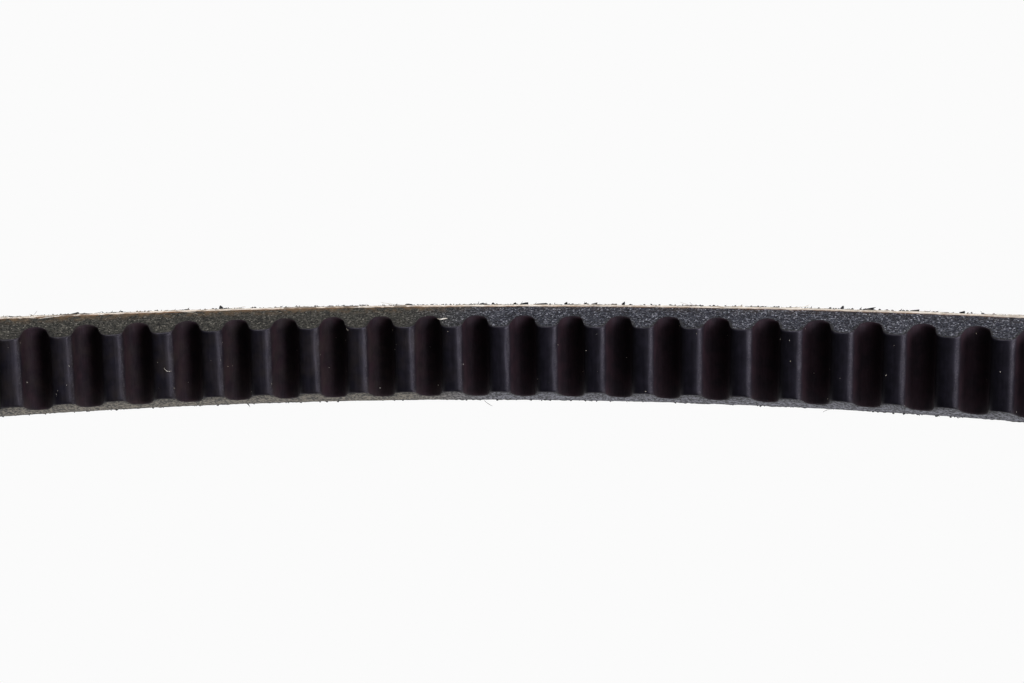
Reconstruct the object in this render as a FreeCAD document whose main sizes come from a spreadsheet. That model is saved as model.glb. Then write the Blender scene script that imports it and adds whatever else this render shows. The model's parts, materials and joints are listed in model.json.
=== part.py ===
"""Raw-edge cogged V-belt: a closed loop lying on its edge, +Z along the loop's axis.

The origin is the centre of the loop, half way across the belt. Millimetres and degrees.

The belt is four bonded layers: a thin back cover, a tension cord wound side by side, the cushion gum
that the cord is embedded in, and a fibre-loaded rubber body with moulded cogs on the inside.
A belt bends all along its length. Here it bends at eight places, each in the middle of a valley
between two cogs, on the cord's neutral line. They lie at the same distance either side of the X and
Y axes, so four of them open by as much as the other four close, and the loop stays closed. The nine
stretches between them hold their shape. The ninth and sixth meet half way between two bends, where
their ends never move apart.
"""
import FreeCAD, Part
import math
import os
import Sketcher

V = FreeCAD.Vector

# Driving sizes. The loop has eight times eighth_cogs cogs; its length follows from their spacing.
SIZES = {
    "eighth_cogs": 20,        # cogs in an eighth of the loop
    "hinge_cogs": 10,         # cogs from the X or Y axis to the bends beside it
    "cog_spacing": 6.4,       # from one cog to the next, along the cord's line
    "top_width": 13.0,        # across the back, where the belt is widest
    "belt_height": 6.2,       # from the back to a cog's tip
    "web_height": 3.25,       # from the back to the floor of a valley
    "flank_angle": 20.0,      # each flank, from the loop's axis plane: a 40 degree wedge
    "cover_height": 0.15,     # the back cover
    "gum_height": 0.95,       # the cushion gum, from the cover to the rubber body
    "cord_diameter": 0.7,     # one strand of the cord
    "cord_spacing": 0.99,     # from one strand to the next, across the belt
    "cord_cover": 0.02,       # gum between a strand and the back cover
    "cord_inset": 0.03,       # from the upper flank in to the middle of the strand cut open there
    "valley_radius": 1.45,    # the round floor of a valley
    "valley_slope": 14.0,     # a valley's side wall, from its centre line
    "tip_radius": 1.0,        # the rounded corners of a cog's tip
    "bend_limit": 20.0,       # how far one bend turns from rest, either way
    "bend_clearance": 0.5,    # more than half the limit, on each side of a bend
    "bend_gap": 0.1,          # between two stretches, on the cord's line
}

COVER_TOP = "0"
COVER_FLOOR = "Sizes.cover_height"
GUM_FLOOR = "(Sizes.cover_height + Sizes.gum_height)"
CORD_DEPTH = "(Sizes.cover_height + Sizes.cord_cover + Sizes.cord_diameter / 2)"
CORD_LINE = "(8 * Sizes.eighth_cogs * Sizes.cog_spacing / (2 * pi))"
BACK = f"({CORD_LINE} + {CORD_DEPTH})"
TIP = f"({BACK} - Sizes.belt_height)"
FLOOR = f"({BACK} - Sizes.web_height)"
COG_ANGLE = "(45 / Sizes.eighth_cogs)"
SHORT = "(2 * Sizes.hinge_cogs)"
LONG = "(2 * (Sizes.eighth_cogs - Sizes.hinge_cogs))"
HALF_LONG = "(Sizes.eighth_cogs - Sizes.hinge_cogs)"
BEND_LEAN = "(Sizes.bend_limit / 2 + Sizes.bend_clearance)"
REACH = "(2 * Sizes.belt_height)"

# Each stretch: its number, its length in cogs, its middle in cogs anticlockwise from +Y, and whether
# its clockwise and its anticlockwise end are a bend or the straight closing cut.
BEND, CLOSING = BEND_LEAN, "0"
STRETCHES = [
    (1, SHORT, "0", BEND, BEND),
    (2, LONG, "(-Sizes.eighth_cogs)", BEND, BEND),
    (3, SHORT, "(-2 * Sizes.eighth_cogs)", BEND, BEND),
    (4, LONG, "(-3 * Sizes.eighth_cogs)", BEND, BEND),
    (5, SHORT, "(-4 * Sizes.eighth_cogs)", BEND, BEND),
    (6, HALF_LONG, f"(-5 * Sizes.eighth_cogs + {HALF_LONG} / 2)", CLOSING, BEND),
    (7, LONG, "Sizes.eighth_cogs", BEND, BEND),
    (8, SHORT, "(2 * Sizes.eighth_cogs)", BEND, BEND),
    (9, HALF_LONG, f"(3 * Sizes.eighth_cogs - {HALF_LONG} / 2)", BEND, CLOSING),
]

doc = FreeCAD.newDocument("CoggedBelt")
sheet = doc.addObject("Spreadsheet::Sheet", "Sizes")
for row, (name, value) in enumerate(SIZES.items(), start=1):
    sheet.set(f"A{row}", name)
    sheet.set(f"B{row}", str(value))
    sheet.setAlias(f"B{row}", name)
doc.recompute()


def size(expression):
    """The number that an expression of the sheet's sizes stands for, to draw a sketch near its place."""
    result = sheet.evalExpression(expression)
    return float(getattr(result, "Value", result))


def origin_part(body, role):
    return next(feature for feature in body.Origin.OriginFeatures if feature.Role == role)


def new_sketch(body, name, plane, turn="0"):
    """A sketch on one of the body's planes, turned about the loop's axis if it lies across it."""
    sketch = body.newObject("Sketcher::SketchObject", name)
    sketch.AttachmentSupport = [(origin_part(body, plane), "")]
    sketch.MapMode = "FlatFace"
    sketch.AttachmentOffset = FreeCAD.Placement(V(), FreeCAD.Rotation(V(0, 0, 1), 0))
    sketch.setExpression("AttachmentOffset.Rotation.Angle", f"{turn} * 1 deg")
    return sketch


def add_polygon(sketch, points):
    """Closed straight lines through the points, joined end to end; returns the first line's number."""
    first = sketch.GeometryCount
    count = len(points)
    for index in range(count):
        start, end = points[index], points[(index + 1) % count]
        sketch.addGeometry(Part.LineSegment(V(*start), V(*end)))
    for index in range(count):
        after = (index + 1) % count
        sketch.addConstraint(Sketcher.Constraint("Coincident", first + index, 2, first + after, 1))
    return first


def bind(sketch, expression, kind, *places):
    """A dimension of the sketch, set by an expression of the sheet's sizes."""
    number = sketch.addConstraint(Sketcher.Constraint(kind, *places, size(expression)))
    sketch.setExpression(f"Constraints[{number}]", expression)


def bind_polygon(sketch, corners):
    """A polygon whose corners are all set by expressions."""
    first = add_polygon(sketch, [(size(x), size(y)) for x, y in corners])
    for index, (x, y) in enumerate(corners):
        bind(sketch, x, "DistanceX", -1, 1, first + index, 1)
        bind(sketch, y, "DistanceY", -1, 1, first + index, 1)


def flank_half(depth):
    """Half the belt's width at a depth under its back."""
    return f"(Sizes.top_width / 2 - {depth} * tan(Sizes.flank_angle * 1 deg))"


def revolve(body, sketch, kind, length):
    feature = body.newObject(f"PartDesign::{kind}", f"{sketch.Name}_{kind}")
    feature.Profile = sketch
    feature.ReferenceAxis = (origin_part(body, "Z_Axis"), [""])
    feature.Midplane = True
    feature.setExpression("Angle", f"{length} * {COG_ANGLE} * 1 deg")
    return feature


def layer_section(body, top, bottom):
    """The layer's cross-section between two depths, its ends on the two flanks."""
    sketch = new_sketch(body, f"{body.Label}_section", "XZ_Plane")
    outer, inner = size(f"{BACK} - {top}"), size(f"{BACK} - {bottom}")
    wide, narrow = size(flank_half(top)), size(flank_half(bottom))
    first = add_polygon(sketch, [(outer, -wide), (outer, wide), (inner, narrow), (inner, -narrow)])
    sketch.addConstraint(Sketcher.Constraint("Symmetric", first, 1, first, 2, -1))
    sketch.addConstraint(Sketcher.Constraint("Symmetric", first + 2, 1, first + 2, 2, -1))
    bind(sketch, f"{BACK} - {top}", "DistanceX", -1, 1, first, 2)
    bind(sketch, f"{BACK} - {bottom}", "DistanceX", -1, 1, first + 2, 1)
    bind(sketch, flank_half(top), "DistanceY", -1, 1, first, 2)
    bind(sketch, flank_half(bottom), "DistanceY", -1, 1, first + 2, 1)
    return sketch


def strand_section(body):
    """The strands' round cross-sections, side by side on the cord's line.

    The first lies on the upper flank, cut open lengthways. The rest follow down to the last that the
    gum still covers at the lower flank.
    """
    sketch = new_sketch(body, f"{body.Label}_strands", "XZ_Plane")
    half, radius = flank_half(CORD_DEPTH), "Sizes.cord_diameter / 2"
    top = f"({half} - Sizes.cord_inset)"
    last = int(size(f"({top} + {half} - {radius} - Sizes.cord_cover) / Sizes.cord_spacing"))
    for index in range(last + 1):
        height = f"{top} - {index} * Sizes.cord_spacing"
        place = V(size(CORD_LINE), size(height), 0)
        strand = sketch.addGeometry(Part.Circle(place, V(0, 0, 1), size(radius)))
        bind(sketch, radius, "Radius", strand)
        bind(sketch, CORD_LINE, "DistanceX", -1, 1, strand, 3)
        bind(sketch, height, "DistanceY", -1, 1, strand, 3)
    return sketch


def trim_upper_flank(body, length):
    """Cuts the first strand open along the flank, as the belt is cut from its wide sleeve."""
    sketch = new_sketch(body, f"{body.Label}_flank", "XZ_Plane")
    gum_floor = f"{BACK} - {GUM_FLOOR}"
    corners = [
        (BACK, flank_half(COVER_TOP)),
        (gum_floor, flank_half(GUM_FLOOR)),
        (gum_floor, "Sizes.top_width"),
        (BACK, "Sizes.top_width"),
    ]
    bind_polygon(sketch, corners)
    revolve(body, sketch, "Groove", length)


def cut_through(body, sketch):
    pocket = body.newObject("PartDesign::Pocket", f"{sketch.Name}_cut")
    pocket.Profile = sketch
    pocket.Midplane = True
    pocket.setExpression("Length", "2 * Sizes.top_width")
    return pocket


def cut_end(body, length, side, lean):
    """Leans an end of the stretch away from its neighbour, above and below the cord's line.

    side is 1 at the anticlockwise end and -1 at the clockwise end. A lean of 0 is the closing cut.
    """
    turn = f"{side} * {length} / 2 * {COG_ANGLE}"
    sketch = new_sketch(body, f"{body.Label}_end_{'b' if side > 0 else 'a'}", "XY_Plane", turn)
    waist = "Sizes.bend_gap / 2"
    edge = f"({waist} + {REACH} * tan({lean} * 1 deg))"
    beyond = REACH
    corners = [
        (CORD_LINE, f"{-side} * {waist}"),
        (f"{CORD_LINE} + {REACH}", f"{-side} * {edge}"),
        (f"{CORD_LINE} + {REACH}", f"{side} * {beyond}"),
        (f"{CORD_LINE} - {REACH}", f"{side} * {beyond}"),
        (f"{CORD_LINE} - {REACH}", f"{-side} * {edge}"),
    ]
    bind_polygon(sketch, corners)
    cut_through(body, sketch)


def add_arc(sketch, centre, radius, start, end):
    """An arc that runs anticlockwise between two angles in degrees."""
    circle = Part.Circle(centre, V(0, 0, 1), radius)
    return sketch.addGeometry(Part.ArcOfCircle(circle, math.radians(start), math.radians(end)))


def add_line(sketch, start, end):
    return sketch.addGeometry(Part.LineSegment(start, end))


def mirrored(point):
    return V(point.x, -point.y, 0)


def valley_section(body, turn):
    """A valley between two cogs: a round floor, two straight walls, and the cogs' rounded corners.

    It is drawn across the X axis, its floor away from the loop's centre. Each corner's arc touches
    the circle that the cogs' tips lie on.
    """
    sketch = new_sketch(body, f"{body.Label}_valley", "XY_Plane", turn)
    slope = size("Sizes.valley_slope")
    radius, corner = size("Sizes.valley_radius"), size("Sizes.tip_radius")
    behind = f"({TIP} - {REACH})"
    into_cog = V(math.sin(math.radians(slope)), math.cos(math.radians(slope)), 0)
    down_wall = V(-into_cog.y, into_cog.x, 0)
    centre = V(size(f"{FLOOR} - Sizes.valley_radius"), 0, 0)
    wall_top = centre + into_cog * radius
    wall_length = (wall_top.x - size(TIP) - corner * (1 - into_cog.x)) / into_cog.y
    wall_end = wall_top + down_wall * wall_length
    corner_centre = wall_end + into_cog * corner
    tip = corner_centre - V(corner, 0, 0)
    back = V(size(behind), tip.y, 0)

    floor_arc = add_arc(sketch, centre, radius, slope - 90, 90 - slope)
    wall = add_line(sketch, wall_top, wall_end)
    corner_arc = add_arc(sketch, corner_centre, corner, 180, 270 - slope)
    side = add_line(sketch, tip, back)
    closing = add_line(sketch, back, mirrored(back))
    far_side = add_line(sketch, mirrored(back), mirrored(tip))
    far_corner = add_arc(sketch, mirrored(corner_centre), corner, 90 + slope, 180)
    far_wall = add_line(sketch, mirrored(wall_end), mirrored(wall_top))
    spoke = add_line(sketch, V(), corner_centre)
    far_spoke = add_line(sketch, V(), mirrored(corner_centre))
    sketch.setConstruction(spoke, True)
    sketch.setConstruction(far_spoke, True)

    for rule in (
        ("Tangent", floor_arc, 2, wall, 1),
        ("Tangent", wall, 2, corner_arc, 2),
        ("Coincident", corner_arc, 1, side, 1),
        ("Coincident", side, 2, closing, 1),
        ("Coincident", closing, 2, far_side, 1),
        ("Coincident", far_side, 2, far_corner, 2),
        ("Tangent", far_corner, 1, far_wall, 1),
        ("Tangent", far_wall, 2, floor_arc, 1),
        ("Equal", corner_arc, far_corner),
        ("PointOnObject", floor_arc, 3, -1),
        ("Symmetric", wall, 2, far_wall, 1, -1),
        ("Horizontal", side),
        ("Horizontal", far_side),
        ("Vertical", closing),
        ("Coincident", spoke, 1, -1, 1),
        ("Coincident", spoke, 2, corner_arc, 3),
        ("PointOnObject", corner_arc, 1, spoke),
        ("Coincident", far_spoke, 1, -1, 1),
        ("Coincident", far_spoke, 2, far_corner, 3),
        ("PointOnObject", far_corner, 2, far_spoke),
    ):
        sketch.addConstraint(Sketcher.Constraint(*rule))
    bind(sketch, "Sizes.valley_radius", "Radius", floor_arc)
    bind(sketch, "Sizes.tip_radius", "Radius", corner_arc)
    bind(sketch, f"{FLOOR} - Sizes.valley_radius", "DistanceX", -1, 1, floor_arc, 3)
    bind(sketch, f"{TIP} + Sizes.tip_radius", "Distance", spoke)
    bind(sketch, behind, "DistanceX", -1, 1, closing, 1)
    lean = sketch.addConstraint(Sketcher.Constraint("Angle", wall, math.radians(180 - slope)))
    sketch.setExpression(f"Constraints[{lean}]", "(180 - Sizes.valley_slope) * 1 deg")
    return sketch


def cut_valleys(body, length):
    """A valley at every cog's spacing, from one end of the stretch to the other."""
    pocket = cut_through(body, valley_section(body, f"-{length} / 2 * {COG_ANGLE}"))
    pattern = body.newObject("PartDesign::PolarPattern", f"{body.Label}_valleys")
    pattern.Originals = [pocket]
    pattern.Axis = (origin_part(body, "Z_Axis"), [""])
    pattern.setExpression("Angle", f"{length} * {COG_ANGLE} * 1 deg")
    pattern.setExpression("Occurrences", f"{length} + 1")
    body.Tip = pattern


def new_body(name, number):
    body = doc.addObject("PartDesign::Body", f"{name}_{number}")
    body.Label = f"{name}_{number}"
    return body


def finish_stretch(body, length, middle, clockwise_end, other_end):
    """Cuts both ends of a stretch and turns it to its place in the loop."""
    cut_end(body, length, -1, clockwise_end)
    cut_end(body, length, 1, other_end)
    body.Placement = FreeCAD.Placement(V(), FreeCAD.Rotation(V(0, 0, 1), 0))
    body.setExpression("Placement.Rotation.Angle", f"(90 + {middle} * {COG_ANGLE}) * 1 deg")
    return body


def back_cover(number, length, *place):
    body = new_body("back_cover", number)
    revolve(body, layer_section(body, COVER_TOP, COVER_FLOOR), "Revolution", length)
    return finish_stretch(body, length, *place)


def tension_cord(number, length, *place):
    body = new_body("tension_cord", number)
    revolve(body, strand_section(body), "Revolution", length)
    trim_upper_flank(body, length)
    return finish_stretch(body, length, *place)


def cushion_gum(number, length, *place):
    """The gum has a round channel for each strand, filled by it; the first is open at the flank."""
    body = new_body("cushion_gum", number)
    revolve(body, layer_section(body, COVER_FLOOR, GUM_FLOOR), "Revolution", length)
    revolve(body, strand_section(body), "Groove", length)
    return finish_stretch(body, length, *place)


def cogged_rubber(number, length, *place):
    body = new_body("cogged_rubber", number)
    revolve(body, layer_section(body, GUM_FLOOR, "Sizes.belt_height"), "Revolution", length)
    finish_stretch(body, length, *place)
    cut_valleys(body, length)
    return body


parts = [
    layer(*stretch)
    for stretch in STRETCHES
    for layer in (back_cover, tension_cord, cushion_gum, cogged_rubber)
]
doc.recompute()

for item in doc.Objects:
    faults = {"Invalid", "Error"} & set(item.State)
    assert not faults, f"{item.Label}: {sorted(faults)}"
for part in parts:
    assert not part.Shape.isNull() and part.Shape.isValid(), part.Label

os.makedirs("parts", exist_ok=True)
for part in parts:
    part.Shape.exportStep(f"parts/{part.Label}.step")
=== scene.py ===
import json
import math

import bmesh
import bpy
import numpy as np
from mathutils import Matrix, Vector


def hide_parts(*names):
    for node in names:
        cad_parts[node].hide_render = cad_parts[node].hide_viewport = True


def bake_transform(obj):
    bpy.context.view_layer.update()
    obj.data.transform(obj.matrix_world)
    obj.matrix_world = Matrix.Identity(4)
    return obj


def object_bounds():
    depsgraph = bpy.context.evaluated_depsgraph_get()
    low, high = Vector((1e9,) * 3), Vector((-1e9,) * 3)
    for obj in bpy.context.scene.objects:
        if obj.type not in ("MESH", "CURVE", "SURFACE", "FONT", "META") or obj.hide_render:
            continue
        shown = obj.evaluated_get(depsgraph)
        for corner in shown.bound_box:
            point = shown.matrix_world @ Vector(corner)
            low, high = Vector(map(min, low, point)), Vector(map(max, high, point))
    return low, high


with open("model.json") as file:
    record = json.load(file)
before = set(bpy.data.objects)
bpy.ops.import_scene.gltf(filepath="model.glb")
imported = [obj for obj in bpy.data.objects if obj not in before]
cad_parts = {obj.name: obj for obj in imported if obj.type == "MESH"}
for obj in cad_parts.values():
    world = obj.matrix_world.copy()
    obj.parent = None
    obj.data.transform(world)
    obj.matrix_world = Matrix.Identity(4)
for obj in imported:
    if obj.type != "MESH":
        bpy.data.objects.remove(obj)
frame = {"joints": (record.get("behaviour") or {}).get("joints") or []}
cad_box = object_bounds()

# The belt's section, in metres. Depth is measured inwards from the back, and z across the belt.
MM = 0.001
BACK = cad_box[1][0]
HALF_WIDTH = cad_box[1][2]
CORD_LINE = math.hypot(*frame["joints"][0]["pos_m"][:2])
COGS = 160
COG_TURN = 2 * math.pi / COGS
BELT_HEIGHT = 6.2 * MM
WEB_HEIGHT = 3.25 * MM
COVER_HEIGHT = 0.15 * MM
GUM_FLOOR = 1.1 * MM
FLANK_SLOPE = math.tan(math.radians(20))
VALLEY_RADIUS = 1.45 * MM
VALLEY_SLOPE = math.radians(14)
TIP_RADIUS = 1.0 * MM
EDGE_RADIUS = 0.13 * MM
SHARP_ANGLE = math.radians(46)

# Half the height of the strand's cut on the upper flank, and the lay of its plies.
CUT_HALF = 0.22 * MM
PLIES = 1.35
PLY_LAY = 16 * MM

# Added to the distance from the lip on a valley's clockwise side, so that the lips facing away from the
# right-hand lamp get fewer nicks and less of the lighter lip colour, which is partly wear and partly a
# painted highlight.
SHADED_LIP_OFFSET = 0.35 * MM

# The loop is shown in eighths with one bend in each, and their ends are at the middles of cog tips.
# Each name pair is the two stretches that the bend joins, in the order of the angle round the loop.
# Stretches 9 and 6 never move apart, so the fifth eighth can reach half a cog past where they meet.
EIGHTHS = (
    ("stretch_3", "stretch_2"),
    ("stretch_2", "stretch_1"),
    ("stretch_1", "stretch_7"),
    ("stretch_7", "stretch_8"),
    ("stretch_8", "stretch_9"),
    ("stretch_6", "stretch_5"),
    ("stretch_5", "stretch_4"),
    ("stretch_4", "stretch_3"),
)
EIGHTH_COGS = COGS // len(EIGHTHS)

# The camera stands inside the loop, above its top edge, and looks along +Y at the far side.
CAMERA_PLACE = (17.44 * MM, -13.34 * MM, 27.08 * MM)
CAMERA_HEADING = math.radians(6.292)
CAMERA_DOWN = math.radians(8.196)
CAMERA_ROLL = math.radians(0.739)
CAMERA_LENS = 47.155

# The dusty stretch of the belt and the clean one before it, in millimetres round the loop from +X, with
# the lengths over which the dust comes and goes.
DUST_START, DUST_END = 258.0, 372.0
CLEAN_START = 150.0
DUST_RISE, DUST_FALL, CLEAN_RISE = 16, 40, 30

# The larger flakes torn up along the back's upper edge, in millimetres: the place round the loop from
# +X, the length, the height, and how far the point leans along the belt.
FLAKES = (
    (200.8, 0.6, 0.35, -0.3),
    (206.4, 1.0, 0.32, -0.4),
    (211.9, 1.1, 0.45, -0.6),
    (215.2, 0.4, 0.60, -0.2),
    (243.2, 0.4, 0.55, -0.3),
    (247.0, 0.7, 0.36, -0.4),
    (248.2, 0.3, 0.42, -0.3),
    (250.8, 0.4, 0.46, -0.3),
    (254.0, 1.6, 0.22, -0.2),
    (256.3, 1.0, 0.42, -0.3),
    (257.6, 0.4, 0.36, -0.1),
    (260.5, 0.4, 0.34, 0.1),
    (262.0, 0.5, 0.32, -0.2),
    (271.8, 0.9, 0.28, 0.2),
    (296.6, 0.5, 0.62, 0.2),
    (315.1, 0.9, 0.30, -0.2),
)

# Three loose fibres that show: points of each as (along, depth, z) in millimetres, its radius, and
# which of the lint's two materials it has.
PALE_FIBRE, DARK_FIBRE = 0, 1
HAIRS = (
    (
        (
            (267.65, 4.0, 5.09),
            (267.3, 4.22, 5.02),
            (267.0, 4.2, 5.05),
            (266.75, 4.1, 5.1),
            (266.5, 4.05, 5.12),
            (266.28, 4.02, 5.13),
        ),
        0.09,
        PALE_FIBRE,
    ),
    (
        (
            (303.9, 6.22, -0.2),
            (303.75, 6.3, -0.45),
            (303.5, 6.36, -0.62),
            (303.2, 6.38, -0.68),
            (302.95, 6.3, -0.62),
        ),
        0.028,
        PALE_FIBRE,
    ),
    (
        (
            (262.0, 0.1, -6.4),
            (261.8, 0.0, -6.7),
            (261.5, -0.05, -6.95),
            (261.1, 0.0, -7.2),
            (260.8, 0.1, -7.35),
        ),
        0.03,
        DARK_FIBRE,
    ),
)

# How many crumbs, shards, pulled filaments, specks and hairs an eighth of the belt has.
UPPER_CRUMBS, UPPER_SHARDS = 280, 44
LOWER_CRUMBS, LOWER_SHARDS = 60, 5
FILAMENTS, SPECKS, EDGE_HAIRS = 46, 52, 3

# The studio. The floor and the room look whiter to the camera than they are as lights. Inside the loop
# the floor gives hardly any light, and its brightness changes between two distances from the loop's axis.
SEEN_WHITE = 0.965
ROOM_LIGHT = 0.035
FLOOR_LIGHT_INSIDE, FLOOR_LIGHT_OUTSIDE = 0.06, 1.0
FLOOR_CHANGE = (0.1535, 0.1600)
FLOOR_HALF_SIDE = 6.0
FLOOR_GAP = 1.2 * MM
LAMP_COLOUR = (0.95, 0.95, 1.0)

# Each lamp: its name, its place, the place that it faces, its two sides and its power, in metres and
# watts.
LAMPS = (
    ("overhead", (0.02, 0.16, 1.50), (0, 0.15, 0), (0.3, 0.3), 14.5),
    ("right_strip", (0.40, -0.09, 0.075), (0, 0.16, 0), (0.26, 0.15), 2.75),
    ("inner_fill", (0.100, 0.042, 0.040), (0.06, 0.16, 0), (0.08, 0.05), 0.056),
)


# ---------------------------------------------------------------- noise and places

def wave_noise(points, size, seed, waves=24):
    """Smooth values of about -1 to 1 at points in metres, with features of about that size in metres."""
    draws = np.random.default_rng(seed)
    way = draws.normal(size=(waves, 3))
    way /= np.linalg.norm(way, axis=1)[:, None]
    pace = math.pi / (size * draws.uniform(0.6, 1.7, waves))
    start = draws.uniform(0, 2 * math.pi, waves)
    flat = points.reshape(-1, 3)
    total = np.zeros(len(flat))
    for w, p, s in zip(way, pace, start):
        total += np.sin(flat @ (w * p) + s)
    return (total * math.sqrt(2 / waves) / 1.8).reshape(points.shape[:-1])


def smooth_step(low, high, value):
    """0 up to low, 1 from high on, and a smooth rise between them."""
    t = np.clip((value - low) / (high - low), 0, 1)
    return t * t * (3 - 2 * t)


def half_width(depth):
    """Half the belt's width at a depth: the flanks slope inwards."""
    return HALF_WIDTH - depth * FLANK_SLOPE


def place(turn, depth, z):
    """Points of the belt in the scene, from the angle round the loop, the depth and z."""
    radius = BACK - depth
    return np.stack(np.broadcast_arrays(radius * np.cos(turn), radius * np.sin(turn), z), -1)


def dust_at(turn, z):
    """How dusty the belt is, from 0 to 1: one dusty stretch in view, a clean one beside it, and patches
    round the rest of the loop."""
    along = np.mod(turn, 2 * math.pi) * CORD_LINE / MM
    risen = smooth_step(DUST_START, DUST_START + DUST_RISE, along)
    seen = risen * (1 - smooth_step(DUST_END - DUST_FALL, DUST_END, along))
    clean = smooth_step(CLEAN_START, CLEAN_START + CLEAN_RISE, along) * (1 - risen)
    patches = smooth_step(0.1, 0.7, wave_noise(place(turn, 0.0 * turn, z), 45 * MM, 71))
    return np.clip(np.maximum(seen, patches * (1 - clean) * 0.9), 0, 1)


# ---------------------------------------------------------------- the cogs' outline

def cog_outline():
    """One cog space's outline from tip middle to tip middle: its points' angles from the valley's middle,
    their depths, their distances to the nearest lip, and the points as (distance along, depth)."""
    side = (math.sin(VALLEY_SLOPE), math.cos(VALLEY_SLOPE))
    tip = BACK - BELT_HEIGHT
    middle = BACK - WEB_HEIGHT - VALLEY_RADIUS
    points = [
        (middle + VALLEY_RADIUS * math.cos(a), VALLEY_RADIUS * math.sin(a))
        for a in np.linspace(0, math.pi / 2 - VALLEY_SLOPE, 8)
    ]
    top = points[-1]
    length = (top[0] - tip - TIP_RADIUS * (1 - side[0])) / side[1]
    end = (top[0] - side[1] * length, top[1] + side[0] * length)
    points += [(top[0] + (end[0] - top[0]) * t, top[1] + (end[1] - top[1]) * t) for t in (0.33, 0.67)]
    centre = (end[0] + side[0] * TIP_RADIUS, end[1] + side[1] * TIP_RADIUS)
    points += [
        (centre[0] - TIP_RADIUS * math.sin(a), centre[1] - TIP_RADIUS * math.cos(a))
        for a in VALLEY_SLOPE + np.linspace(0, math.pi / 2 - VALLEY_SLOPE, 7)
    ]
    half = [(math.atan2(y, x), BACK - math.hypot(x, y)) for x, y in points]
    last = half[-1][0]
    half += [(last + (COG_TURN / 2 - last) * t, BELT_HEIGHT) for t in (0.3, 0.65, 1.0)]
    half = np.array(half)
    whole = np.concatenate([half[:0:-1] * (-1, 1), half])
    run = np.stack([whole[:, 0] * (BACK - whole[:, 1]), whole[:, 1]], -1)
    lips = np.array([[s * (centre[1] - TIP_RADIUS * 0.6), BELT_HEIGHT - TIP_RADIUS * 0.4] for s in (-1, 1)])
    # The offset keeps the painted highlight and wear on the lips mostly to the side that faces the
    # right-hand lamp.
    lip = (np.linalg.norm(run[:, None] - lips[None], axis=2) + np.array([SHADED_LIP_OFFSET, 0])).min(1)
    return whole[:, 0], whole[:, 1], lip, run


OUTLINE_TURN, OUTLINE_DEPTH, OUTLINE_LIP, OUTLINE_RUN = cog_outline()


def eighth_rows(eighth):
    """The angles round the loop of an eighth's cross-sections, and which outline point each one is on."""
    valleys = (eighth * EIGHTH_COGS + 1 + np.arange(EIGHTH_COGS)) * COG_TURN
    turns = (valleys[:, None] + OUTLINE_TURN[None, :-1]).ravel()
    which = np.tile(np.arange(len(OUTLINE_TURN) - 1), EIGHTH_COGS)
    return np.append(turns, valleys[-1] + OUTLINE_TURN[-1]), np.append(which, len(OUTLINE_TURN) - 1)


def eighth_span(eighth):
    """Where an eighth starts along the cord's line and how long it is there, in metres."""
    start = (eighth * EIGHTH_COGS + 0.5) * COG_TURN * CORD_LINE
    return start, EIGHTH_COGS * COG_TURN * CORD_LINE


def rim_distance(depth):
    """How far the points of one cog space are from the moulded outline, for depths as (row, column)."""
    steps = np.linspace(0, len(OUTLINE_RUN) - 1, 150)
    fine = np.stack([np.interp(steps, range(len(OUTLINE_RUN)), values) for values in OUTLINE_RUN.T], -1)
    points = np.stack([OUTLINE_TURN[:, None] * (BACK - depth), depth], -1)
    return np.linalg.norm(points[:, :, None] - fine[None, None], axis=3).min(2)


# ---------------------------------------------------------------- meshes

def new_piece(name, points, faces, coordinates, materials, slot_of=None):
    """A mesh piece with the belt's own coordinates stored on it in millimetres, for the materials, and
    with outward normals and smooth faces."""
    mesh = bpy.data.meshes.new(name)
    mesh.from_pydata(points.reshape(-1, 3), [], faces)
    for material in materials:
        mesh.materials.append(material)
    if slot_of is not None:
        mesh.polygons.foreach_set("material_index", np.asarray(slot_of, np.int32))
    for key, values in coordinates.items():
        vector = key in ("belt", "rest")
        made = mesh.attributes.new(key, "FLOAT_VECTOR" if vector else "FLOAT", "POINT")
        made.data.foreach_set("vector" if vector else "value", (values / MM).astype(np.float32).ravel())
    build = bmesh.new()
    build.from_mesh(mesh)
    bmesh.ops.recalc_face_normals(build, faces=build.faces)
    build.to_mesh(mesh)
    build.free()
    mesh.polygons.foreach_set("use_smooth", np.ones(len(mesh.polygons), bool))
    mesh.set_sharp_from_angle(angle=SHARP_ANGLE)
    piece = bpy.data.objects.new(name, mesh)
    bpy.context.scene.collection.objects.link(piece)
    return piece


def belt_coordinates(turn, depth, z):
    """The coordinates that the materials read: along, into and across the belt, the place at rest, and
    the dust there. The dust is no length, so MM cancels the division that all of them get."""
    turn, depth, z = np.broadcast_arrays(turn, depth, z)
    return {
        "belt": np.stack([turn * CORD_LINE, depth, z], -1),
        "rest": place(turn, depth, z),
        "dust": dust_at(turn, z) * MM,
    }


def strip_faces(loops, around):
    """Quads between the loops of a closed section, the end caps, and the place of each face round the
    section."""
    index = np.arange(loops * around).reshape(loops, around)
    ahead = np.roll(index, -1, axis=1)
    quads = np.stack([index[:-1], index[1:], ahead[1:], ahead[:-1]], -1).reshape(-1, 4)
    column = np.tile(np.arange(around), loops - 1).tolist()
    return quads.tolist() + [index[0].tolist(), index[-1].tolist()], column + [0, 0]


def roughen(turn, depth, z, flank):
    """Moves the points of a flank a little in and out, as a ground rubber face is."""
    at = place(turn, depth, z)
    grain = 0.014 * wave_noise(at, 0.45 * MM, 11) + 0.012 * wave_noise(at, 1.6 * MM, 12)
    return z + flank * grain * MM * np.sign(z)


def attach(piece, eighth, node):
    """Bakes a piece's place into its mesh and, when a layer is named, hides that layer of the two stretches
    that its eighth covers.
    """
    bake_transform(piece)
    if node:
        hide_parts(*(node + body.removeprefix("stretch") for body in EIGHTHS[eighth]))
    return piece


# ---------------------------------------------------------------- the belt's layers

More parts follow.
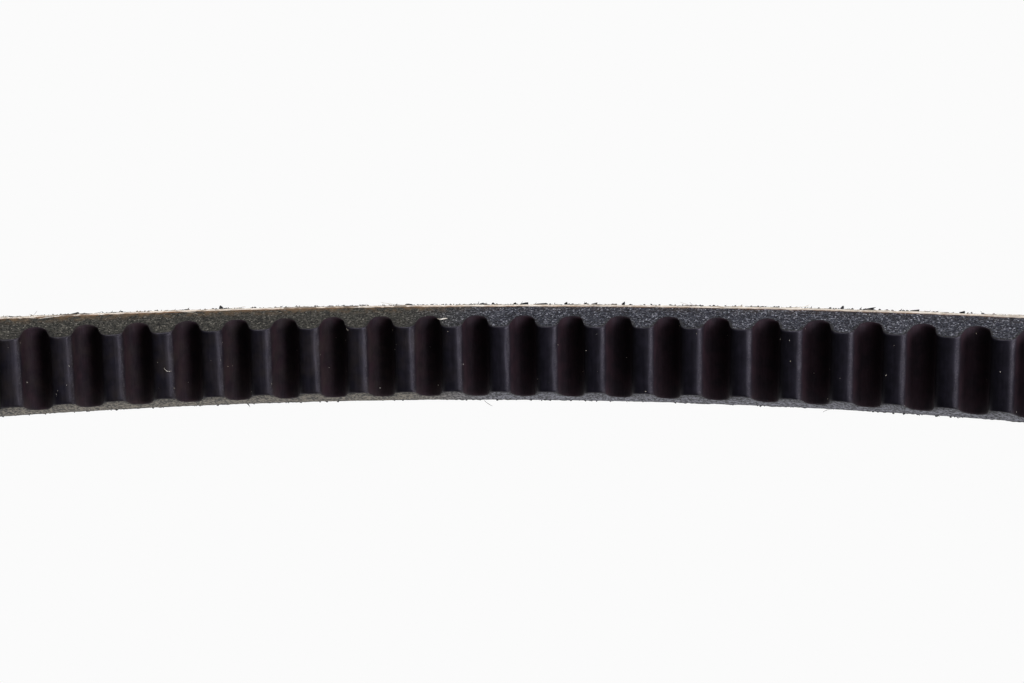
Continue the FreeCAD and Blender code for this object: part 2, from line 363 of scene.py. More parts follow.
def cogged_rubber(eighth, materials):
    """The cogs and the web under the cord, their edges rounded and their ground flanks a little rough."""
    turn, which = eighth_rows(eighth)
    inner = OUTLINE_DEPTH[which][:, None]
    turn = turn[:, None]
    wear = wave_noise(place(turn, inner, 0 * turn), 1.3 * MM, 21)
    edge = EDGE_RADIUS * (1 + 0.45 * wear)
    web = np.array([1.1, 1.5, 2.0, 2.45, 2.85]) * MM + 0 * turn
    share = np.array([0.3, 0.6, 0.86, 1.0])
    ground = np.concatenate([web, web[:, -1:] + (inner - edge - web[:, -1:]) * share], 1)
    across = np.concatenate([[1, 0.965], np.linspace(0.86, -0.86, 13), [-0.965, -1]])
    flat = np.broadcast_to(inner, (len(turn), len(across))) + 0.0
    width = half_width(inner)
    face_z = (width - edge) * across
    corner_depth, corner_z = inner - edge * 0.3, width - edge * 0.3
    flank_z = half_width(ground)
    depth = np.concatenate([ground, corner_depth, flat, corner_depth, ground[:, ::-1]], 1)
    z = np.concatenate([flank_z, corner_z, face_z, -corner_z, -flank_z[:, ::-1]], 1)
    first, around = ground.shape[1] + 1, depth.shape[1]
    on_flank = np.ones(around)
    on_flank[first:first + len(across)] = 0
    z = roughen(turn, depth, z, on_flank)
    skin = wave_noise(place(turn, depth, z * 0.15), 0.5 * MM, 31)
    skin += wave_noise(place(turn, depth, z), 2.2 * MM, 32)
    lip = np.broadcast_to(OUTLINE_LIP[which][:, None], depth.shape)
    behind = place(turn, 0 * depth, z)
    nicks = wave_noise(behind, 1.1 * MM, 33) + wave_noise(behind, 3.5 * MM, 34)
    nicks = np.clip(nicks + 0.5, 0, 2) * (1 - smooth_step(0.0, 0.55 * MM, lip))
    depth = depth + (1 - on_flank) * (skin * 0.012 - nicks * 0.085) * MM

    coordinates = belt_coordinates(turn, depth, z)
    coordinates.update(rim=rim_distance(depth[:len(OUTLINE_TURN)])[which], lip=lip)
    faces, column = strip_faces(len(turn), around)
    moulded = [int(first - 2 <= c <= first + len(across)) for c in column]
    return new_piece(
        f"cogs_{eighth + 1}", place(turn, depth, z), faces, coordinates, materials, moulded
    )


def cushion_gum(eighth, materials):
    """The band between the cover and the cogs, with the groove on its upper flank that the cord lies in."""
    turn = eighth_rows(eighth)[0][:, None]
    groove = COVER_HEIGHT + CUT_HALF + CUT_HALF * np.array([-0.98, -0.6, 0, 0.6, 1.0])
    cut = np.concatenate([[COVER_HEIGHT], groove, [GUM_FLOOR]])
    under = CUT_HALF * np.array([0, 0, 0.75, 0.9, 0.75, 0, 0])
    plain = np.linspace(GUM_FLOOR, COVER_HEIGHT, 4)
    section = np.concatenate([cut, plain])
    depth = section + 0.0 * turn
    z = np.concatenate([half_width(cut) - under, -half_width(plain)]) + 0.0 * turn
    z = roughen(turn, depth, z, 1.0)
    faces, _ = strip_faces(len(turn), len(section))
    coordinates = belt_coordinates(turn, depth, z)
    coordinates.update(rim=np.full(depth.shape, 3 * MM))
    return new_piece(f"gum_{eighth + 1}", place(turn, depth, z), faces, coordinates, materials)


def tension_cord(eighth, materials):
    """The strand cut open along the upper flank: its plies cross the cut at a slow slant and stand up a
    little, and the cut wanders."""
    turn = eighth_rows(eighth)[0][:, None]
    u = np.linspace(-1, 1, 13)[None]
    along = turn * CORD_LINE
    line = place(turn, 0 * turn, 0 * turn)
    wander = wave_noise(line, 2.6 * MM, 41) * 0.03 * MM
    reach = CUT_HALF + 0.03 * MM * wave_noise(line, 0.9 * MM, 42)
    middle = COVER_HEIGHT + CUT_HALF + wander
    depth = middle + u * reach
    ply = np.cos(2 * math.pi * (u * PLIES + along / PLY_LAY) + 1.2 * wave_noise(line, 5 * MM, 43))
    proud = (0.035 + 0.05 * ply) * np.sqrt(np.clip(1 - u**4, 0, 1)) * MM
    proud += 0.018 * MM * wave_noise(place(turn, depth, 0 * turn), 0.3 * MM, 44)
    z = half_width(depth) + proud * (1 - 0.5 * u**2)
    back = np.array([0.95, 0.5, 0, -0.5, -0.95])
    depth_back = middle + back[None] * reach
    z_back = half_width(depth_back) - 0.20 * MM * np.sqrt(1 - back[None] ** 2) - 0.02 * MM
    depth = np.concatenate([depth, depth_back], 1)
    z = np.concatenate([z, z_back], 1)
    faces, _ = strip_faces(len(turn), depth.shape[1])
    return new_piece(
        f"cord_{eighth + 1}", place(turn, depth, z), faces, belt_coordinates(turn, depth, z), materials
    )


def back_cover(eighth, materials):
    """The thin fabric cover on the back, with frayed, uneven edges."""
    turn = eighth_rows(eighth)[0][:, None]
    line = place(turn, 0 * turn, 0 * turn)
    fray = [
        (0.05 * wave_noise(line, 0.35 * MM, 51 + s) + 0.05 * wave_noise(line, 1.5 * MM, 53 + s) - 0.04) * MM
        for s in (0, 1)
    ]
    across = np.linspace(1, -1, 17)
    width = np.where(across > 0, half_width(0) + fray[0], half_width(0) + fray[1])
    top_z = width * across
    top_depth = 0.05 * MM * np.abs(across[None]) ** 12 + 0 * turn
    low_z = np.concatenate([-half_width(COVER_HEIGHT) - fray[1], half_width(COVER_HEIGHT) + fray[0]], 1)
    low_depth = np.broadcast_to(COVER_HEIGHT, low_z.shape)
    depth = np.concatenate([top_depth, low_depth], 1)
    z = np.concatenate([top_z, low_z], 1)
    faces, _ = strip_faces(len(turn), depth.shape[1])
    return new_piece(
        f"cover_{eighth + 1}", place(turn, depth, z), faces, belt_coordinates(turn, depth, z), materials
    )


# ---------------------------------------------------------------- crumbs, shards and fibres

def scattered(name, solids, materials):
    """One piece from many small closed solids: each one's (turn, depth, z) points, its faces and the
    number of its material."""
    turn, depth, z, faces, kind = [], [], [], [], []
    for points, sides, which in solids:
        base = len(turn)
        turn += points[:, 0].tolist()
        depth += points[:, 1].tolist()
        z += points[:, 2].tolist()
        faces += [[base + v for v in side] for side in sides]
        kind += [which] * len(sides)
    turn, depth, z = (np.array(v) for v in (turn, depth, z))
    return new_piece(name, place(turn, depth, z), faces, belt_coordinates(turn, depth, z), materials, kind)


# The points and the faces of a crumb and of a pointed shard, before size and chance change them.
CRUMB = (
    np.array([(0, 0, 1), (1, 0, 0.1), (0.2, 1, 0), (-1, 0.1, 0), (0, -1, -0.1), (0, 0, -1)]),
    [(0, 1, 2), (0, 2, 3), (0, 3, 4), (0, 4, 1), (5, 2, 1), (5, 3, 2), (5, 4, 3), (5, 1, 4)],
)
SHARD = (
    np.array(
        [(-1, 0.2, 0), (0.6, 0.25, 0), (-0.8, -0.2, 0), (0.5, -0.2, 0), (0.5, 0.1, 0.7), (1.5, 0, 1.6)]
    ),
    [(0, 1, 3, 2), (0, 2, 4), (0, 4, 1), (2, 3, 4), (1, 4, 5), (1, 5, 3), (3, 5, 4)],
)


def speck(draws, shape, along, depth, z, size, lean=0.0):
    """A crumb or a shard at a place on the belt, its size in metres, turned and misshapen at random."""
    points = shape[0] * (1 + draws.uniform(-0.35, 0.35, shape[0].shape)) * size
    spin = draws.uniform(-0.5, 0.5) + lean
    x = points[:, 0] * math.cos(spin) - points[:, 2] * math.sin(spin)
    up = points[:, 0] * math.sin(spin) + points[:, 2] * math.cos(spin)
    return np.stack([(along + x) / CORD_LINE, depth + points[:, 1], z + up], -1)


def crumbs(eighth, materials):
    """Crumbs and pointed shards of rubber on the worn edges of the back."""
    draws = np.random.default_rng(600 + eighth)
    start, length = eighth_span(eighth)
    solids = []
    for side, count, shards in ((1, UPPER_CRUMBS, UPPER_SHARDS), (-1, LOWER_CRUMBS, LOWER_SHARDS)):
        for _ in range(count):
            size = draws.uniform(0.035, 0.14) * MM
            depth = draws.uniform(0.0, 0.16) * MM
            z = side * (half_width(depth) + size * 0.2)
            along = start + length * draws.uniform(0.004, 0.996)
            solids.append((speck(draws, CRUMB, along, depth, z, size * np.array([1.5, 1, 1])), CRUMB[1], 0))
        for _ in range(shards):
            size = draws.uniform(0.12, 0.28) * MM
            depth = draws.uniform(0.02, 0.12) * MM
            along = start + length * draws.uniform(0.01, 0.99)
            points = speck(draws, SHARD, 0, 0, 0, size * np.array([1, 0.5, 0.75]), draws.uniform(-0.3, 0.3))
            foot = side * (half_width(depth) - 0.02 * MM)
            points = points * (-1, 1, side) + (along / CORD_LINE, depth, foot)
            solids.append((points, SHARD[1], 0))
    solids += [flake(draws, *f) for f in FLAKES if start < f[0] * MM < start + length]
    return scattered(f"crumbs_{eighth + 1}", solids, materials)


def flake(draws, along, length, height, lean):
    """A thin pointed flake standing on the back's upper edge, given in millimetres."""
    outline = [
        (-length / 2, -0.06),
        (length / 2, -0.06),
        (length * 0.55, height * 0.3),
        (length * (lean + 0.12), height * 0.85),
        (length * (lean - 0.14), height),
        (length * -0.5, height * 0.4),
    ]
    thickness = draws.uniform(0.05, 0.1)
    points = np.array([(x, d, z) for d in (0.02, 0.02 + thickness) for x, z in outline]) * MM
    points[:, 2] *= np.where(points[:, 2] > 0, 0.7, 1)
    points += draws.uniform(-0.035, 0.035, points.shape) * MM
    points[:, 1] += np.where(points[:, 2] > 0, -0.04 * MM, 0)
    points += (along * MM, 0, half_width(0.05 * MM))
    points[:, 0] /= CORD_LINE
    n = len(outline)
    sides = [tuple(range(n)), tuple(range(2 * n - 1, n - 1, -1))]
    sides += [(i, i + n, (i + 1) % n + n, (i + 1) % n) for i in range(n)]
    return points, sides, 0


def fibre(path, radius, sides=5):
    """A thin tapered tube along points given as (along, depth, z), in metres."""
    path = np.array(path, float)
    count = len(path)
    step = np.gradient(path, axis=0)
    step /= np.linalg.norm(step, axis=1)[:, None] + 1e-12
    first = np.cross(step, (0.31, 0.62, 0.72))
    first /= np.linalg.norm(first, axis=1)[:, None] + 1e-12
    second = np.cross(step, first)
    from_end = np.minimum(np.arange(count) + 0.4, count - 0.6 - np.arange(count))
    girth = radius * np.clip(from_end / 1.6, 0.15, 1)
    ring = np.linspace(0, 2 * math.pi, sides, endpoint=False)
    points = (
        path[:, None]
        + (first[:, None] * np.cos(ring)[None, :, None] + second[:, None] * np.sin(ring)[None, :, None])
        * girth[:, None, None]
    ).reshape(-1, 3)
    points[:, 0] /= CORD_LINE
    return points, strip_faces(count, sides)[0]


def curl(draws, along, depth, z, length, rise, steps=11):
    """A curved hair's path: it runs mostly along the belt, and its end lifts off."""
    heading = draws.uniform(-0.25, 0.25) + (math.pi if draws.random() < 0.5 else 0)
    bend = draws.uniform(-1.2, 1.2)
    t = np.linspace(0, 1, steps)
    way = heading + bend * t
    dx = np.cumsum(np.cos(way)) * length / steps
    dz = np.cumsum(np.sin(way)) * length / steps * 0.35
    lift = rise * t**2
    return np.stack([along + dx, depth + dz, z - dz * FLANK_SLOPE + lift], -1)


def lint(eighth, materials):
    """Pulled filaments of the cord, pale specks on the cogs, and loose pale and dark hairs."""
    draws = np.random.default_rng(700 + eighth)
    start, length = eighth_span(eighth)
    solids = []
    for _ in range(FILAMENTS):
        depth = COVER_HEIGHT + CUT_HALF * draws.uniform(0.1, 2.2)
        along = start + length * draws.uniform(0.06, 0.94)
        path = curl(draws, along, depth, half_width(depth) + 0.08 * MM, draws.uniform(1.5, 6) * MM,
                    draws.uniform(0, 0.22) * MM)
        solids.append((*fibre(path, draws.uniform(0.018, 0.035) * MM), PALE_FIBRE))
    for _ in range(SPECKS):
        which = draws.integers(len(OUTLINE_TURN))
        size = draws.uniform(0.025, 0.07) * MM
        valley = eighth * EIGHTH_COGS + 1 + draws.integers(1, EIGHTH_COGS - 1)
        turn = valley * COG_TURN + OUTLINE_TURN[which]
        depth = OUTLINE_DEPTH[which]
        z = draws.uniform(-0.95, 0.95) * half_width(depth)
        solids.append((speck(draws, CRUMB, turn * CORD_LINE, depth, z, size), CRUMB[1], PALE_FIBRE))
    for path, radius, which in HAIRS:
        path = np.array(path) * MM
        if start < path[:, 0].min() and path[:, 0].max() < start + length:
            solids.append((*fibre(path, radius * MM), which))
    for side in (1,) * EDGE_HAIRS + (-1,) * EDGE_HAIRS:
        depth = draws.uniform(0.05, 0.3) * MM if side < 0 else draws.uniform(0.0, 0.25) * MM
        along = start + length * draws.uniform(0.06, 0.94)
        path = curl(draws, along, 0, 0, draws.uniform(0.8, 2.2) * MM, draws.uniform(0.2, 0.7) * MM)
        path = path * (1, 1, side) + (0, depth, side * half_width(depth))
        solids.append((*fibre(path, draws.uniform(0.015, 0.028) * MM), DARK_FIBRE))
    return scattered(f"lint_{eighth + 1}", solids, materials)


# ---------------------------------------------------------------- material building

class Shader:
    """A material's node tree, with short ways to add and join the nodes used here."""

    def __init__(self, name):
        self.material = bpy.data.materials.new(name)
        self.material.use_nodes = True
        self.tree = self.material.node_tree
        self.surface = self.tree.nodes["Principled BSDF"]

    def add(self, kind, values=(), out=0, **settings):
        """Adds a node, sets its settings and inputs, and gives one of its outputs."""
        node = self.tree.nodes.new("ShaderNode" + kind)
        for key, value in settings.items():
            setattr(node, key, value)
        for key, value in dict(values).items():
            self.wire(node.inputs[key], value)
        return node.outputs[out]

    def wire(self, socket, value):
        """Links an output to an input, or sets the input to a plain value."""
        if isinstance(value, bpy.types.NodeSocket):
            self.tree.links.new(value, socket)
        else:
            socket.default_value = value

    def stored(self, name, vector=False):
        """An attribute of the mesh, in millimetres where it is a length."""
        return self.add("Attribute", out="Vector" if vector else "Fac", attribute_name=name)

    def math(self, operation, *values):
        """A sum, product or other result of numbers."""
        return self.add("Math", enumerate(values), operation=operation)

    def ramp(self, value, low, high, to_low=0.0, to_high=1.0):
        """A smooth change from to_low, where value is low, to to_high, where it is high."""
        values = {"Value": value, "From Min": low, "From Max": high, "To Min": to_low, "To Max": to_high}
        return self.add("MapRange", values, interpolation_type="SMOOTHSTEP")

    def mix(self, factor, first, second):
        """The first colour where factor is 0, and the second one where it is 1."""
        return self.add("Mix", {0: factor, 6: first, 7: second}, out=2, data_type="RGBA")

    def stretched(self, vector, scale):
        """Coordinates scaled along each axis: under 1 draws a pattern out that way."""
        return self.add("VectorMath", {0: vector, 1: scale}, operation="MULTIPLY")

    def noise(self, vector, size, detail=3.0, rough=0.55):
        """Noise with features of about size millimetres, where vector is in millimetres."""
        values = {"Vector": vector, "Scale": 1 / size, "Detail": detail, "Roughness": rough}
        return self.add("TexNoise", values)

    def cells(self, vector, size, out):
        """Scattered points about size millimetres apart: the distance to the nearest, or its colour."""
        return self.add("TexVoronoi", {"Vector": vector, "Scale": 1 / size}, out=out)

    def bump(self, height, distance, strength):
        """A shading normal from a height, whose full range stands for a distance in metres."""
        return self.add("Bump", {"Height": height, "Distance": distance, "Strength": strength})

    def finish(self, color, roughness, normal=None, **fixed):
        """Wires the surface, sets what is the same all over it from fixed, and gives the material."""
        self.wire(self.surface.inputs["Base Color"], color)
        self.wire(self.surface.inputs["Roughness"], roughness)
        if normal is not None:
            self.wire(self.surface.inputs["Normal"], normal)
        for key, value in fixed.items():
            self.surface.inputs[key.replace("_", " ")].default_value = value
        return self.material


def tone(red, green, blue):
    """A colour as the node sockets take it."""
    return (red, green, blue, 1.0)


# ---------------------------------------------------------------- materials

def ground_rubber():
    """The raw-cut flanks: grey rubber full of short chopped fibres, with brown cord dust on it."""
    s = Shader("ground_rubber")
    rest, belt = s.stored("rest", True), s.stored("belt", True)
    dust, rim = s.stored("dust"), s.stored("rim")
    split = s.add("SeparateXYZ", {0: belt}).node
    depth, z = split.outputs[1], split.outputs[2]
    upper = s.ramp(z, -0.5, 0.5)

    grain = s.ramp(s.noise(rest, 0.31, 3.0, 0.8), 0.45, 0.56)
    fleck = s.ramp(s.noise(rest, 0.36, 3.0, 0.8), 0.55, 0.63)
    fibre_ends = s.ramp(s.cells(rest, 0.42, "Distance"), 0.32, 0.12)
    chosen = s.ramp(s.add("SeparateColor", {0: s.cells(rest, 0.42, "Color")}), 0.62, 0.7)
    fleck = s.math("MAXIMUM", s.math("MULTIPLY", fleck, 0.5), s.math("MULTIPLY", fibre_ends, chosen))
    mottle = s.ramp(s.noise(rest, 1.4, 4.0, 0.6), 0.3, 0.72)

    shade = s.math("ADD", s.math("MULTIPLY", grain, 0.80), s.math("MULTIPLY", mottle, 0.20))
    clean = s.mix(shade, tone(0.0012, 0.0016, 0.0025), tone(0.041, 0.043, 0.057))
    dusty = s.mix(shade, tone(0.004, 0.004, 0.003), tone(0.054, 0.051, 0.040))
    base = s.mix(dust, clean, dusty)
    bright = s.mix(dust, tone(0.42, 0.425, 0.47), tone(0.25, 0.232, 0.19))
    color = s.mix(fleck, base, bright)

    # Painted light: the lower flank is painted paler than the upper one, with bright specks, standing in for
    # light from the white floor below.
    painted_underlight = s.mix(dust, tone(0.31, 0.31, 0.365), tone(0.345, 0.305, 0.25))
    speckle = s.ramp(s.noise(s.stretched(belt, (1.0, 0.3, 1.0)), 0.34, 3.0, 0.75), 0.42, 0.60)
    painted_underlight = s.mix(speckle, tone(0.03, 0.029, 0.032), painted_underlight)
    color = s.mix(s.ramp(z, 0.5, -0.5, 0.0, 0.62), color, painted_underlight)

    # Cord dust below the cut strand, and a brown line along it.
    near_cord = s.math("MULTIPLY", s.ramp(depth, 2.6, 0.7), upper)
    patchy = s.ramp(s.noise(s.stretched(rest, (1.0, 1.0, 2.0)), 1.3, 4.0, 0.65), 0.42, 0.62)
    amount = s.math("MULTIPLY", s.ramp(dust, 0.0, 1.0, 0.15, 0.9), patchy)
    color = s.mix(s.math("MULTIPLY", near_cord, amount), color, tone(0.13, 0.085, 0.045))
    line = s.math("MULTIPLY", s.ramp(depth, 0.82, 0.68), upper)
    line = s.math("MULTIPLY", line, s.ramp(s.noise(rest, 2.4, 3.0), 0.36, 0.6, 0.25, 1.0))
    color = s.mix(s.math("MULTIPLY", line, 0.8), color, tone(0.20, 0.10, 0.045))

    # Painted shade: dark edges round the cogs, darker near the tips on the upper flank and near the valleys
    # on the lower one, and a dark corner where the lower flank meets the back.
    deep = s.ramp(depth, 3.6, 5.2)
    darker = s.math("SUBTRACT", 1.0, s.math("ABSOLUTE", s.math("SUBTRACT", upper, deep)))
    edge = s.math("MULTIPLY", s.ramp(rim, 0.62, 0.1), s.ramp(darker, 0.0, 1.0, 0.6, 1.0))
    edge = s.math("MULTIPLY", edge, s.ramp(s.noise(rest, 0.7, 3.0), 0.3, 0.55, 0.35, 1.0))
    color = s.mix(s.math("MULTIPLY", edge, 0.85), color, tone(0.014, 0.013, 0.011))
    corner = s.math("MULTIPLY", s.ramp(depth, 0.95, 0.25), s.math("SUBTRACT", 1.0, upper))
    color = s.mix(s.math("MULTIPLY", corner, 0.55), color, tone(0.012, 0.012, 0.014))

    height = s.math("ADD", s.math("MULTIPLY", fleck, 0.8), s.noise(rest, 0.16, 3.0, 0.7))
    rough = s.ramp(s.noise(rest, 0.5, 3.0), 0.3, 0.7, 0.72, 0.95)
    return s.finish(color, rough, s.bump(height, 0.04 * MM, 0.9), Specular_IOR_Level=0.3)


def moulded_rubber():
    """The inner face as it left the mould: near-black, softly shiny, with fine streaks across the belt, lips
    made lighter by wear and a painted highlight, and specks of dust."""
    s = Shader("moulded_rubber")
    rest, belt = s.stored("rest", True), s.stored("belt", True)
    dust, lip = s.stored("dust"), s.stored("lip")
    depth = s.add("SeparateXYZ", {0: belt}).node.outputs[1]

    on_tip = s.ramp(depth, 5.1, 6.0)
    cloudy = s.ramp(s.noise(rest, 1.8, 3.0), 0.35, 0.65)
    valley = s.mix(cloudy, tone(0.0065, 0.0024, 0.0038), tone(0.0140, 0.0050, 0.0072))
    cloudy = s.ramp(s.noise(rest, 1.1, 3.0), 0.35, 0.65)
    tips = s.mix(cloudy, tone(0.0036, 0.0032, 0.0058), tone(0.0075, 0.0066, 0.0112))
    color = s.mix(on_tip, valley, tips)
    film = s.math("MULTIPLY", dust, s.ramp(s.noise(rest, 2.3, 4.0, 0.6), 0.35, 0.75))
    color = s.mix(s.math("MULTIPLY", film, 0.45), color, tone(0.024, 0.018, 0.013))

    streak = s.noise(s.stretched(rest, (1.0, 1.0, 0.09)), 0.16, 3.0, 0.6)
    patchy = s.ramp(s.noise(s.stretched(rest, (1.0, 1.0, 0.35)), 0.5, 3.0), 0.36, 0.6, 0.1, 1.0)
    # The lighter lips and their scuffs are partly wear and partly a painted highlight, strongest on the lips
    # that face the right-hand lamp.
    wear_and_highlight = s.math("MULTIPLY", s.ramp(lip, 0.36, 0.06), patchy)
    color = s.mix(s.math("MULTIPLY", wear_and_highlight, 0.5), color, tone(0.046, 0.042, 0.047))
    scuff_and_highlight = s.math("MULTIPLY", s.ramp(lip, 0.5, 0.1), s.ramp(s.noise(rest, 0.22, 3.0, 0.7), 0.5, 0.64))
    color = s.mix(s.math("MULTIPLY", scuff_and_highlight, 0.3), color, tone(0.10, 0.092, 0.102))
    color = s.mix(s.ramp(streak, 0.6, 0.85, 0.0, 0.3), color, tone(0.030, 0.027, 0.030))

    mote = s.ramp(s.cells(rest, 1.9, "Distance"), 0.055, 0.03)
    which = s.ramp(s.add("SeparateColor", {0: s.cells(rest, 1.9, "Color")}), 0.72, 0.74)
    color = s.mix(s.math("MULTIPLY", mote, which), color, tone(0.45, 0.42, 0.38))

    lumps = s.math("MULTIPLY", s.noise(rest, 0.3, 3.0), 0.5)
    height = s.math("ADD", s.math("MULTIPLY", streak, 0.7), lumps)
    rough = s.math("ADD", s.ramp(streak, 0.3, 0.7, 0.42, 0.56), s.ramp(on_tip, 0.0, 0.7, 0.28, 0.0))
    return s.finish(color, rough, s.bump(height, 0.03 * MM, 0.55), Specular_IOR_Level=0.28,
                    Specular_Tint=tone(0.90, 0.84, 1.0))


def cut_cord():
    """The cut polyester cord: cream filaments in slow-slanting plies, stained brown in their furrows."""
    s = Shader("cut_cord")
    rest, belt = s.stored("rest", True), s.stored("belt", True)
    depth = s.add("SeparateXYZ", {0: belt}).node.outputs[1]
    dust = s.stored("dust")
    fine = s.noise(s.stretched(belt, (0.06, 1.0, 1.0)), 0.07, 3.0, 0.6)
    broad = s.noise(s.stretched(belt, (0.12, 1.0, 1.0)), 0.32, 3.0)
    color = s.mix(s.ramp(fine, 0.35, 0.65), tone(0.62, 0.52, 0.40), tone(0.88, 0.84, 0.75))
    color = s.mix(s.ramp(broad, 0.5, 0.72, 0.0, 0.55), color, tone(0.42, 0.30, 0.17))
    side = s.ramp(depth, (COVER_HEIGHT + CUT_HALF) / MM, (COVER_HEIGHT + 2 * CUT_HALF) / MM)
    blot = s.ramp(s.noise(rest, 1.6, 4.0, 0.65), 0.4, 0.62)
    stain = s.math("MULTIPLY", side, s.math("MULTIPLY", blot, s.ramp(dust, 0.0, 1.0, 0.5, 0.95)))
    color = s.mix(stain, color, tone(0.22, 0.115, 0.05))
    smear = s.ramp(s.noise(s.stretched(rest, (1.0, 1.0, 1.6)), 0.7, 5.0, 0.7), 0.58, 0.68)
    outer = s.ramp(depth, 0.62, 0.3, 0.25, 1.0)
    color = s.mix(s.math("MULTIPLY", smear, outer), color, tone(0.035, 0.030, 0.027))
    grimy = s.math("MULTIPLY", dust, s.ramp(s.noise(rest, 2.6, 4.0, 0.6), 0.54, 0.62))
    color = s.mix(s.math("MULTIPLY", grimy, 0.8), color, tone(0.11, 0.075, 0.045))
    return s.finish(color, 0.75, s.bump(fine, 0.04 * MM, 0.8), Specular_IOR_Level=0.3)


def cover_fabric():
    """The back's rubbered fabric: threads on the bias, dark, with the threads' crowns gone grey with wear.
    """
    s = Shader("cover_fabric")
    rest, belt = s.stored("rest", True), s.stored("belt", True)
    split = s.add("SeparateXYZ", {0: belt}).node
    along, z = split.outputs[0], split.outputs[2]
    pitch = 0.8  # from one thread to the next, in millimetres along the belt
    one = s.math("SINE", s.math("MULTIPLY", s.math("ADD", along, z), math.pi / pitch))
    two = s.math("SINE", s.math("MULTIPLY", s.math("SUBTRACT", along, z), math.pi / pitch))
    over = s.math("GREATER_THAN", s.math("MULTIPLY", one, two), 0.0)
    one = s.math("MULTIPLY", s.math("ABSOLUTE", one), over)
    two = s.math("MULTIPLY", s.math("ABSOLUTE", two), s.math("SUBTRACT", 1.0, over))
    thread = s.math("ADD", one, two)
    wear = s.ramp(s.noise(rest, 3.2, 4.0, 0.6), 0.35, 0.7)
    lint_noise = s.noise(rest, 0.12, 3.0, 0.7)
    crown = s.math("MULTIPLY", s.ramp(thread, 0.62, 0.98), s.ramp(wear, 0.0, 1.0, 0.35, 1.0))
    color = s.mix(crown, tone(0.011, 0.011, 0.012), tone(0.040, 0.040, 0.043))
    color = s.mix(s.ramp(lint_noise, 0.62, 0.8, 0.0, 0.35), color, tone(0.09, 0.088, 0.085))
    dusty = s.math("MULTIPLY", s.stored("dust"), s.ramp(s.noise(rest, 5.0, 4.0), 0.4, 0.7, 0.0, 0.5))
    color = s.mix(dusty, color, tone(0.06, 0.052, 0.040))
    height = s.math("ADD", thread, s.math("MULTIPLY", lint_noise, 0.35))
    rough = s.ramp(wear, 0.0, 1.0, 0.85, 0.66)
    return s.finish(color, rough, s.bump(height, 0.09 * MM, 0.8), Specular_IOR_Level=0.35, Sheen_Weight=0.12,
                    Sheen_Roughness=0.5)


def torn_rubber():
    """Crumbs torn from the edges: dull black rubber."""
    s = Shader("torn_rubber")
    rest = s.stored("rest", True)
    cloudy = s.ramp(s.noise(rest, 0.4, 3.0), 0.4, 0.65)
    color = s.mix(cloudy, tone(0.008, 0.009, 0.011), tone(0.035, 0.037, 0.042))
    return s.finish(color, 0.85, s.bump(s.noise(rest, 0.06, 2.0), 0.02 * MM, 0.8), Specular_IOR_Level=0.3)


def loose_fibre(name, low, high):
    """A single fibre's material, between two tones."""
    s = Shader(name)
    rest = s.stored("rest", True)
    color = s.mix(s.ramp(s.noise(rest, 0.5, 3.0), 0.35, 0.65), low, high)
    return s.finish(color, 0.6, s.bump(s.noise(rest, 0.05, 2.0), 0.01 * MM, 0.5), Specular_IOR_Level=0.4)


# ---------------------------------------------------------------- the belt

FLANK = ground_rubber()
INNER = moulded_rubber()
CORD = cut_cord()
COVER = cover_fabric()
TORN = torn_rubber()
PALE = loose_fibre("pale_fibre", tone(0.55, 0.47, 0.36), tone(0.85, 0.81, 0.73))
DARK = loose_fibre("dark_fibre", tone(0.02, 0.02, 0.022), tone(0.07, 0.065, 0.06))

for eighth in range(len(EIGHTHS)):
    attach(cogged_rubber(eighth, [FLANK, INNER]), eighth, "cogged_rubber")
    attach(cushion_gum(eighth, [FLANK]), eighth, "cushion_gum")
    attach(tension_cord(eighth, [CORD]), eighth, "tension_cord")
    attach(back_cover(eighth, [COVER]), eighth, "back_cover")
    attach(crumbs(eighth, [TORN]), eighth, None)
    attach(lint(eighth, [PALE, DARK]), eighth, None)


# ---------------------------------------------------------------- studio

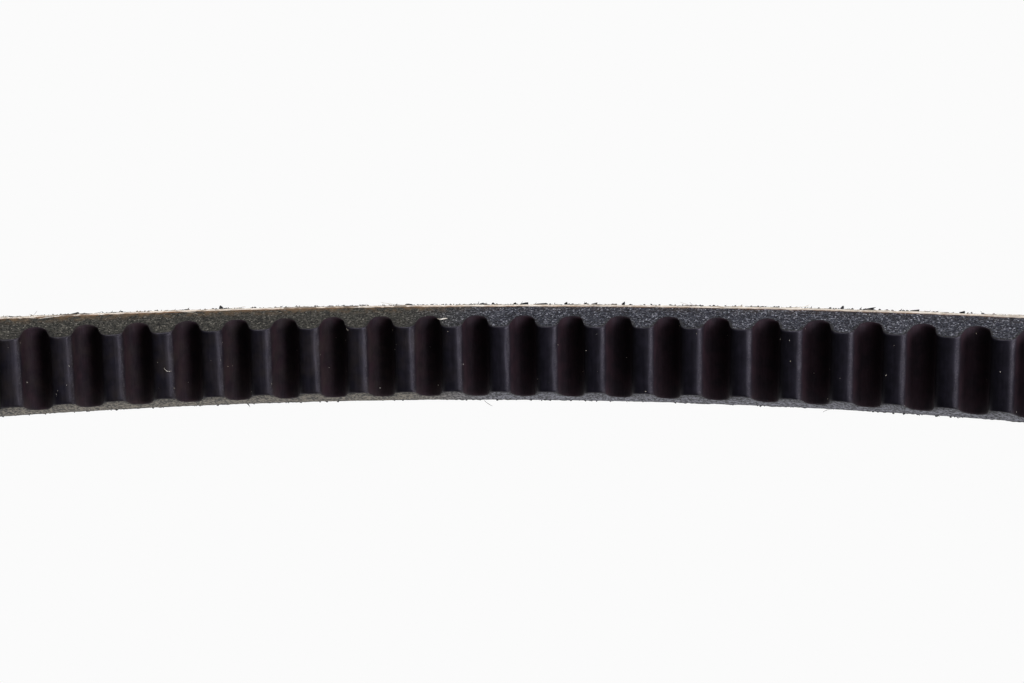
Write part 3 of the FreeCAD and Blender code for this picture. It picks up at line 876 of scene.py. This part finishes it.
def pale_floor():
    """A white floor just under the belt, evenly bright to the camera."""
    mesh = bpy.data.meshes.new("floor")
    corners = [(x * FLOOR_HALF_SIDE, y * FLOOR_HALF_SIDE) for x, y in ((-1, -1), (1, -1), (1, 1), (-1, 1))]
    mesh.from_pydata([(x, y, -HALF_WIDTH - FLOOR_GAP) for x, y in corners], [], [(0, 1, 2, 3)])
    s = Shader("floor_white")
    seen = s.add("LightPath", out="Is Camera Ray")
    position = s.add("NewGeometry", out="Position")
    from_middle = s.add("VectorMath", {0: position}, operation="LENGTH", out="Value")
    light = s.ramp(from_middle, *FLOOR_CHANGE, FLOOR_LIGHT_INSIDE, FLOOR_LIGHT_OUTSIDE)
    strength = s.add("Mix", {0: seen, 2: light, 3: SEEN_WHITE}, data_type="FLOAT")
    s.wire(s.surface.inputs["Emission Strength"], strength)
    s.finish(tone(0, 0, 0), 1.0, Emission_Color=tone(1, 1, 1), Specular_IOR_Level=0.0)
    mesh.materials.append(s.material)
    floor = bpy.data.objects.new("floor", mesh)
    bpy.context.scene.collection.objects.link(floor)


def white_room():
    """White all round, and dimmer as a light than it looks."""
    world = bpy.data.worlds.new("white_room")
    world.use_nodes = True
    nodes, links = world.node_tree.nodes, world.node_tree.links
    background = nodes["Background"]
    background.inputs["Color"].default_value = tone(1, 1, 1)
    seen = nodes.new("ShaderNodeLightPath").outputs["Is Camera Ray"]
    strength = nodes.new("ShaderNodeMapRange")
    links.new(seen, strength.inputs["Value"])
    strength.inputs["To Min"].default_value = ROOM_LIGHT
    strength.inputs["To Max"].default_value = SEEN_WHITE
    links.new(strength.outputs[0], background.inputs["Strength"])
    bpy.context.scene.world = world


def softbox(name, at, towards, size, power):
    """A lamp with an even square face, which the camera doesn't see."""
    light = bpy.data.lights.new(name, "AREA")
    light.shape = "RECTANGLE"
    light.size, light.size_y = size
    light.energy = power
    light.color = LAMP_COLOUR
    lamp = bpy.data.objects.new(name, light)
    bpy.context.scene.collection.objects.link(lamp)
    aim = (Vector(towards) - Vector(at)).to_track_quat("-Z", "Y")
    lamp.matrix_world = Matrix.Translation(at) @ aim.to_matrix().to_4x4()
    lamp.visible_camera = False


pale_floor()
white_room()
for lamp in LAMPS:
    softbox(*lamp)

camera = bpy.data.objects.new("camera", bpy.data.cameras.new("camera"))
camera.data.sensor_width = 36
camera.data.lens = CAMERA_LENS
camera.data.clip_start = 0.005
camera.matrix_world = (
    Matrix.Translation(CAMERA_PLACE)
    @ Matrix.Rotation(CAMERA_HEADING, 4, "Z")
    @ Matrix.Rotation(math.pi / 2 - CAMERA_DOWN, 4, "X")
    @ Matrix.Rotation(-CAMERA_ROLL, 4, "Z")
)
bpy.context.scene.collection.objects.link(camera)
bpy.context.scene.camera = camera
bpy.context.scene.view_settings.view_transform = "Standard"
